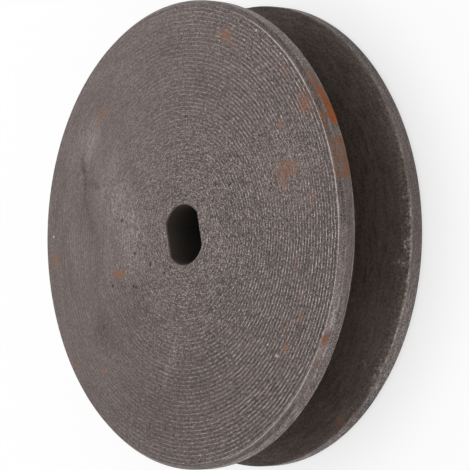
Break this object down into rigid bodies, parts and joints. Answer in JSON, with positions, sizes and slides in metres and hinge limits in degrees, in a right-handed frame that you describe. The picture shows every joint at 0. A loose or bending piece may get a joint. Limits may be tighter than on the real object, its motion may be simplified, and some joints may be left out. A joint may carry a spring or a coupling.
{
  "type": "v-belt pulley",
  "caption": "Flat turned V-belt pulley with one deep groove between two flanges and a double-D bore through its middle.",
  "frame": {"origin": "centre of the rear face, on the axis of the bore", "axes": "+Z along the bore axis, out of the front face; +X square to the two flats of the bore; it lies on its rear face"},
  "size_m": [0.094, 0.094, 0.0217],
  "materials": {
    "turned_iron": "turned, oxidised brown-grey, with small spots of rust"
  },
  "bodies": {
    "root": {"pulley": "turned_iron"}
  },
  "joints": []
}
